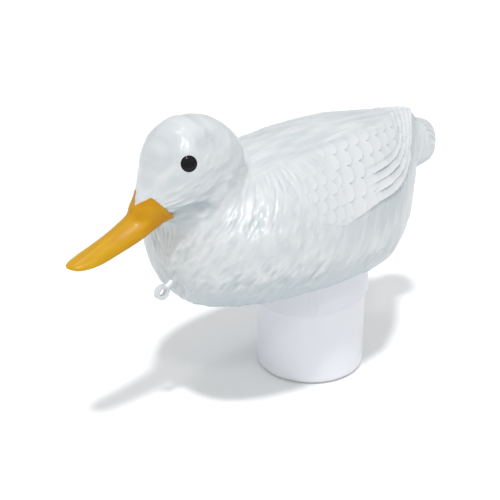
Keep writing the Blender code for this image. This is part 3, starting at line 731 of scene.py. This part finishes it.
def ramp_node(tree, source, stops):
    """Colour ramp with (position, colour) stops fed by a socket."""
    ramp = tree.nodes.new("ShaderNodeValToRGB")
    elements = ramp.color_ramp.elements
    while len(elements) < len(stops):
        elements.new(0.5)
    for element, (position, colour) in zip(elements, stops):
        element.position = position
        element.color = (*colour, 1.0)
    tree.links.new(source, ramp.inputs["Fac"])
    return ramp


def mix_colours(tree, factor, first, second):
    """Colour mix node; factor, first and second are sockets or plain values."""
    mix = tree.nodes.new("ShaderNodeMix")
    mix.data_type = "RGBA"
    for socket, value in ((mix.inputs[0], factor), (mix.inputs[6], first), (mix.inputs[7], second)):
        if isinstance(value, tuple):
            socket.default_value = value
        else:
            tree.links.new(value, socket)
    return mix.outputs[2]


def bump_node(tree, shader, height, strength, distance):
    """Bump on a shader from a height socket."""
    bump = tree.nodes.new("ShaderNodeBump")
    bump.inputs["Strength"].default_value = strength
    bump.inputs["Distance"].default_value = distance
    tree.links.new(height, bump.inputs["Height"])
    tree.links.new(bump.outputs["Normal"], shader.inputs["Normal"])


def range_node(tree, source, low, high, to_low, to_high):
    """Linear remap of a socket."""
    node = tree.nodes.new("ShaderNodeMapRange")
    for name, value in (("From Min", low), ("From Max", high), ("To Min", to_low),
                        ("To Max", to_high)):
        node.inputs[name].default_value = value
    tree.links.new(source, node.inputs["Value"])
    return node.outputs["Result"]


def shell_material():
    """Glossy white blow-moulded plastic, with painted shade: darker and cooler in the hollows
    between feathers, darker on faces turned downwards.
    """
    mat, tree, shader = new_material("shell_white")
    relief = tree.nodes.new("ShaderNodeAttribute")
    relief.attribute_name = "relief"
    # painted shade in the hollows between feathers, taken from the feather relief
    hollow = ramp_node(tree, range_node(tree, relief.outputs["Fac"], *SHELL_RELIEF_SPAN),
                       SHELL_HOLLOW_SHADE)
    patches = noise_node(tree, *SHELL_PATCHES)
    tint = mix_colours(tree, range_node(tree, patches.outputs["Fac"], *SHELL_PATCH_SPAN),
                       hollow.outputs["Color"], SHELL_PATCH)
    # painted shade on the underside: darker colour where the surface normal points down
    facing = tree.nodes.new("ShaderNodeSeparateXYZ")
    geometry = tree.nodes.new("ShaderNodeNewGeometry")
    tree.links.new(geometry.outputs["Normal"], facing.inputs["Vector"])
    underside_shade = mix_colours(tree, range_node(tree, facing.outputs["Z"], *SHELL_UNDERSIDE_SHADE_SPAN),
                       tint, SHELL_UNDERSIDE_SHADE)
    tree.links.new(underside_shade, shader.inputs["Base Color"])
    smear = noise_node(tree, *SHELL_SMEAR)
    tree.links.new(range_node(tree, smear.outputs["Fac"], *GLOSS_SPAN),
                   shader.inputs["Roughness"])
    shader.inputs["IOR"].default_value = SHELL_IOR
    shader.inputs["Coat Weight"].default_value = SHELL_COAT
    shader.inputs["Coat Roughness"].default_value = SHELL_COAT_ROUGHNESS
    bump_node(tree, shader, noise_node(tree, *SHELL_GRAIN).outputs["Fac"], *SHELL_BUMP)
    return mat


def satin_material():
    """Smooth satin injection moulding, slightly lavender."""
    mat, tree, shader = new_material("satin_white")
    cloud = noise_node(tree, *SATIN_CLOUD)
    colour = ramp_node(tree, cloud.outputs["Fac"], SATIN_RAMP)
    tree.links.new(colour.outputs["Color"], shader.inputs["Base Color"])
    tree.links.new(range_node(tree, cloud.outputs["Fac"], *SATIN_SPAN),
                   shader.inputs["Roughness"])
    shader.inputs["IOR"].default_value = SATIN_IOR
    bump_node(tree, shader, noise_node(tree, *SATIN_GRAIN).outputs["Fac"], *SATIN_BUMP)
    return mat


def bill_material():
    """Yellow deepening to orange at the base, with faint long streaks."""
    mat, tree, shader = new_material("bill_yellow")
    coords = tree.nodes.new("ShaderNodeTexCoord")
    split = tree.nodes.new("ShaderNodeSeparateXYZ")
    tree.links.new(coords.outputs["Object"], split.inputs["Vector"])
    base = ramp_node(tree, range_node(tree, split.outputs["Y"], *BILL_ALONG), BILL_RAMP)
    streak = noise_node(tree, *BILL_STREAKS)
    colour = mix_colours(tree, range_node(tree, streak.outputs["Fac"], *BILL_STREAK_SPAN),
                         base.outputs["Color"], BILL_STREAK)
    tree.links.new(colour, shader.inputs["Base Color"])
    tree.links.new(range_node(tree, streak.outputs["Fac"], *GLOSS_SPAN),
                   shader.inputs["Roughness"])
    shader.inputs["Specular IOR Level"].default_value = BILL_SPECULAR
    shader.inputs["Coat Weight"].default_value = BILL_COAT
    shader.inputs["Coat Roughness"].default_value = BILL_COAT_ROUGHNESS
    bump_node(tree, shader, streak.outputs["Fac"], *BILL_BUMP)
    return mat


def eye_material():
    """Polished black glass-like plastic."""
    mat, tree, shader = new_material("eye_black")
    depth = noise_node(tree, *EYE_GRAIN)
    colour = ramp_node(tree, depth.outputs["Fac"], EYE_RAMP)
    tree.links.new(colour.outputs["Color"], shader.inputs["Base Color"])
    shader.inputs["Roughness"].default_value = EYE_ROUGHNESS
    shader.inputs["Specular IOR Level"].default_value = EYE_SPECULAR
    return mat


def rubber_material():
    """Matt black rubber."""
    mat, tree, shader = new_material("rubber_black")
    grain = noise_node(tree, *RUBBER_GRAIN)
    colour = ramp_node(tree, grain.outputs["Fac"], RUBBER_RAMP)
    tree.links.new(colour.outputs["Color"], shader.inputs["Base Color"])
    shader.inputs["Roughness"].default_value = RUBBER_ROUGHNESS
    bump_node(tree, shader, grain.outputs["Fac"], *RUBBER_BUMP)
    return mat


def steel_material():
    """Stainless steel with fine turning marks."""
    mat, tree, shader = new_material("screw_steel")
    marks = noise_node(tree, *STEEL_MARKS)
    colour = ramp_node(tree, marks.outputs["Fac"], STEEL_RAMP)
    tree.links.new(colour.outputs["Color"], shader.inputs["Base Color"])
    shader.inputs["Metallic"].default_value = 1.0
    tree.links.new(range_node(tree, marks.outputs["Fac"], *STEEL_SPAN),
                   shader.inputs["Roughness"])
    return mat


def set_material(obj, mat):
    """Give an object one material."""
    obj.data.materials.clear()
    obj.data.materials.append(mat)


# ---------------------------------------------------------------- stage

def make_camera():
    """Camera at a three-quarter view from above the duck's left side."""
    data = bpy.data.cameras.new("camera")
    data.sensor_width = CAMERA_SENSOR
    data.lens = CAMERA_LENS
    data.clip_start = CAMERA_CLIP
    camera = bpy.data.objects.new("camera", data)
    camera.location = CAMERA_PLACE
    camera.rotation_euler = (math.radians(90 - CAMERA_PITCH), 0, math.radians(CAMERA_AZIMUTH))
    bpy.context.scene.collection.objects.link(camera)
    bpy.context.scene.camera = camera


def add_overhead():
    """Small disc light over the duck's head, for the highlights."""
    data = bpy.data.lights.new("overhead", "AREA")
    data.shape = "DISK"
    data.size = OVERHEAD_SIZE
    data.energy = OVERHEAD_POWER
    light = bpy.data.objects.new("overhead", data)
    light.location = OVERHEAD_PLACE
    aim = Vector(OVERHEAD_TARGET) - Vector(OVERHEAD_PLACE)
    light.rotation_euler = aim.to_track_quat("-Z", "Y").to_euler()
    bpy.context.scene.collection.objects.link(light)


def make_stage():
    """White floor, two soft suns, a disc light and a bright surround."""
    bm = bmesh.new()
    bmesh.ops.create_circle(bm, cap_ends=True, segments=FLOOR_SIDES, radius=FLOOR_RADIUS)
    floor = add("floor", mesh_from(bm, "floor"))
    mat, tree, shader = new_material("floor_white")
    shader.inputs["Base Color"].default_value = FLOOR_COLOUR
    shader.inputs["Roughness"].default_value = FLOOR_ROUGHNESS
    shader.inputs["Specular IOR Level"].default_value = FLOOR_SPECULAR
    set_material(floor, mat)

    for name, (direction, strength, angle, colour) in SUNS.items():
        data = bpy.data.lights.new(name, "SUN")
        data.energy = strength
        data.angle = math.radians(angle)
        data.color = colour
        sun = bpy.data.objects.new(name, data)
        sun.rotation_euler = Vector(direction).to_track_quat("Z", "Y").to_euler()
        bpy.context.scene.collection.objects.link(sun)
    add_overhead()

    world = bpy.data.worlds.new("surround")
    bpy.context.scene.world = world
    world.use_nodes = True
    tree = world.node_tree
    background = tree.nodes["Background"]
    coords = tree.nodes.new("ShaderNodeTexCoord")
    split = tree.nodes.new("ShaderNodeSeparateXYZ")
    tree.links.new(coords.outputs["Generated"], split.inputs["Vector"])
    ramp = ramp_node(tree, range_node(tree, split.outputs["Z"], *SURROUND_HEIGHTS, 0, 1),
                     SURROUND_COLOURS)
    tree.links.new(ramp.outputs["Color"], background.inputs["Color"])
    background.inputs["Strength"].default_value = SURROUND_STRENGTH
    view = bpy.context.scene.view_settings
    view.view_transform = "Standard"
    view.look = "None"


# ---------------------------------------------------------------- assembly

def main():
    """Build the pieces, give every node its material and tie pieces to bodies."""
    make_camera()
    make_stage()
    white, satin = shell_material(), satin_material()
    yellow, black = bill_material(), eye_material()
    rubber, steel = rubber_material(), steel_material()

    duck, bill, (left_eye, right_eye) = make_duck()
    for piece, node, slot, body, mat in (
            (duck, "duck_shell", "shell_white", "float", white),
            (bill, "bill", "bill_yellow", "float", yellow),
            (left_eye, "left_eye", "eye_black", "float", black),
            (right_eye, "right_eye", "eye_black", "float", black),
            (make_collar(), "collar", "satin_white", "float", satin),
            (make_cup(), "tablet_cup", "satin_white", "tablet_cup", satin)):
        set_material(piece, mat)
        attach(piece, body)
        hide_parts(node)

    finishes = {"tether_eye": white, "hull_plug": rubber, "collar_gasket": rubber,
                "friction_ring": rubber}
    finishes.update({f"collar_screw_{i + 1}": steel for i in range(SCREWS)})
    for node, mat in finishes.items():
        set_material(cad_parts[node], mat)


main()
